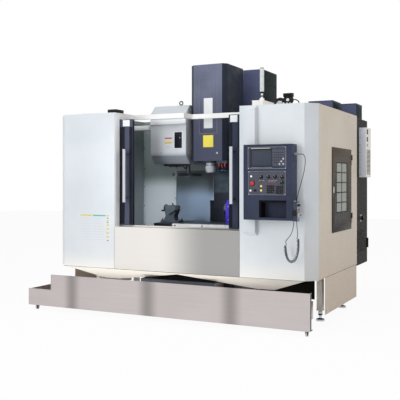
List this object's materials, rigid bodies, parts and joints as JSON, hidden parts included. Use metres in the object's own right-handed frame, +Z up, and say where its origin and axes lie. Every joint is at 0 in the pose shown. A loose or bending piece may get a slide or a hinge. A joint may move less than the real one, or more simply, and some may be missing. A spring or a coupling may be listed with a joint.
{
  "type": "vertical machining centre",
  "caption": "Enclosed vertical CNC milling machine with open sliding doors, rotary table, tailstock, console, tool magazine and rolling coolant tank.",
  "frame": {"origin": "on the floor under the middle of the whole machine's box, cord left out", "axes": "+X to the right seen from the front, +Y to the rear, +Z up"},
  "size_m": [3.43, 2.5002, 2.86],
  "materials": {
    "white_paint": "fine textured paint",
    "beige_paint": "fine textured paint",
    "blue_paint": "dark blue textured paint",
    "grey_paint": "satin paint",
    "violet_paint": "gloss paint",
    "stainless": "brushed",
    "steel": "ground and turned",
    "chrome": "polished",
    "iron": "grey painted casting with machined faces",
    "black_metal": "black satin paint",
    "panel_plastic": "matte moulded plastic",
    "black_plastic": "matte moulded plastic",
    "red_plastic": "gloss moulded plastic",
    "cord_rubber": "matte cord jacket",
    "window": "clear laminated sheet",
    "dark_window": "tinted sheet"
  },
  "bodies": {
    "frame": {"bed": "iron", "levelling_feet": "steel", "column": "iron", "column_hood": "blue_paint", "left_front_panel": "white_paint", "right_front_panel": "white_paint", "door_sill": "stainless", "top_beam": "white_paint", "left_side_panel": "beige_paint", "right_side_panel": "beige_paint", "base_skirts": "beige_paint", "under_panel": "white_paint", "splash_walls": "grey_paint", "servo_motors": "black_metal", "cabinet": "blue_paint", "air_conditioner": "white_paint", "control_box": "blue_paint", "screen_unit": "panel_plastic", "operator_panel": "panel_plastic", "pendant": "panel_plastic", "cord_plug": "black_plastic", "cord_upper": "cord_rubber", "cord_coil": "cord_rubber", "cord_lower": "cord_rubber", "tower_light": "white_paint", "air_unit": "black_metal", "magazine_cover": "white_paint", "changer_frame": "iron"},
    "left_door": {"left_door": "blue_paint", "left_window": "window", "left_handle": "chrome"},
    "right_door": {"right_door": "blue_paint", "right_window": "window", "right_handle": "chrome"},
    "saddle": {"saddle": "iron"},
    "table": {"table": "iron", "table_strip": "stainless", "tailstock": "iron", "rotary_table": "violet_paint"},
    "quill": {"quill": "steel"},
    "handwheel": {"handwheel": "black_plastic"},
    "faceplate": {"faceplate": "steel"},
    "head": {"head_casting": "iron", "head_cover": "blue_paint"},
    "spindle": {"spindle": "steel"},
    "z_cover": {"z_cover": "stainless"},
    "y_screw": {"y_screw": "steel"},
    "x_screw": {"x_screw": "steel"},
    "z_screw": {"z_screw": "steel"},
    "tool_disc": {"tool_disc": "steel"},
    "changer_sleeve": {"changer_sleeve": "steel"},
    "changer_arm": {"changer_arm": "steel"},
    "coolant_tank": {"coolant_tank": "stainless"},
    "estop_button": {"estop_button": "red_plastic"},
    "feed_knob": {"feed_knob": "black_plastic"},
    "pendant_dial": {"pendant_dial": "black_plastic"},
    "side_door": {"side_door": "black_metal", "side_window": "dark_window"},
    "main_switch": {"main_switch": "black_plastic"},
    "cabinet_door": {"cabinet_door": "blue_paint"}
  },
  "joints": [
    {"name": "left_door_slide", "type": "slide", "parent": "frame", "child": "left_door", "axis": [1, 0, 0], "range_m": [0, 0.588]},
    {"name": "right_door_slide", "type": "slide", "parent": "frame", "child": "right_door", "axis": [-1, 0, 0], "range_m": [0, 0.588]},
    {"name": "saddle_slide", "type": "slide", "parent": "frame", "child": "saddle", "axis": [0, 1, 0], "range_m": [-0.3, 0.3]},
    {"name": "table_slide", "type": "slide", "parent": "saddle", "child": "table", "axis": [1, 0, 0], "range_m": [-0.55, 0.55]},
    {"name": "head_slide", "type": "slide", "parent": "frame", "child": "head", "axis": [0, 0, 1], "range_m": [-0.476, 0.124]},
    {"name": "z_cover_slide", "type": "slide", "parent": "frame", "child": "z_cover", "axis": [0, 0, 1], "range_m": [-0.238, 0.062]},
    {"name": "y_screw_turn", "type": "hinge", "parent": "frame", "child": "y_screw", "pos_m": [0.095, -0.15015, 0.552], "axis": [0, 1, 0], "continuous": true},
    {"name": "x_screw_turn", "type": "hinge", "parent": "saddle", "child": "x_screw", "pos_m": [0.095, -0.15015, 0.816], "axis": [1, 0, 0], "continuous": true},
    {"name": "z_screw_turn", "type": "hinge", "parent": "frame", "child": "z_screw", "pos_m": [0.095, 0.57485, 1.6], "axis": [0, 0, 1], "continuous": true},
    {"name": "spindle_turn", "type": "hinge", "parent": "head", "child": "spindle", "pos_m": [0.095, -0.15015, 1.65], "axis": [0, 0, 1], "continuous": true},
    {"name": "tool_disc_turn", "type": "hinge", "parent": "frame", "child": "tool_disc", "pos_m": [-0.405, -0.02815, 2.041], "axis": [1, 0, 0], "continuous": true},
    {"name": "changer_drop", "type": "slide", "parent": "frame", "child": "changer_sleeve", "axis": [0, 0, 1], "range_m": [-0.115, 0]},
    {"name": "changer_swing", "type": "hinge", "parent": "changer_sleeve", "child": "changer_arm", "pos_m": [-0.205, -0.15015, 1.56], "axis": [0, 0, 1], "range_deg": [0, 270]},
    {"name": "faceplate_turn", "type": "hinge", "parent": "table", "child": "faceplate", "pos_m": [0.365, -0.25015, 1.159], "axis": [1, 0, 0], "continuous": true},
    {"name": "quill_slide", "type": "slide", "parent": "table", "child": "quill", "axis": [1, 0, 0], "range_m": [0, 0.04]},
    {"name": "handwheel_turn", "type": "hinge", "parent": "table", "child": "handwheel", "pos_m": [-0.445, -0.25015, 1.159], "axis": [1, 0, 0], "range_deg": [0, 3600]},
    {"name": "estop_press", "type": "slide", "parent": "frame", "child": "estop_button", "axis": [0, 1, 0], "range_m": [0, 0.006], "stiffness_N_per_m": 800},
    {"name": "feed_knob_turn", "type": "hinge", "parent": "frame", "child": "feed_knob", "pos_m": [1.161, -1.23015, 1.525], "axis": [0, 1, 0], "range_deg": [-135, 135]},
    {"name": "pendant_dial_turn", "type": "hinge", "parent": "frame", "child": "pendant_dial", "pos_m": [1.525, -1.17765, 1.158], "axis": [1, 0, 0], "continuous": true},
    {"name": "side_door_swing", "type": "hinge", "parent": "frame", "child": "side_door", "pos_m": [1.662, 0.32385, 1.39], "axis": [0, 0, 1], "range_deg": [0, 100]},
    {"name": "main_switch_turn", "type": "hinge", "parent": "frame", "child": "main_switch", "pos_m": [1.625, 0.90685, 1.033], "axis": [1, 0, 0], "range_deg": [0, 90]},
    {"name": "cabinet_door_swing", "type": "hinge", "parent": "frame", "child": "cabinet_door", "pos_m": [1.635, 1.22415, 1.355], "axis": [0, 0, -1], "range_deg": [0, 110]},
    {"name": "tank_roll", "type": "slide", "parent": "frame", "child": "coolant_tank", "axis": [0, -1, 0], "range_m": [0, 0.6]}
  ],
  "couplings": [
    {"joint": "z_cover_slide", "follows": "head_slide", "ratio": 0.5},
    {"joint": "y_screw_turn", "follows": "saddle_slide", "rad_per_m": 523.6},
    {"joint": "x_screw_turn", "follows": "table_slide", "rad_per_m": 523.6},
    {"joint": "z_screw_turn", "follows": "head_slide", "rad_per_m": 523.6},
    {"joint": "handwheel_turn", "follows": "quill_slide", "rad_per_m": 1570.8}
  ]
}
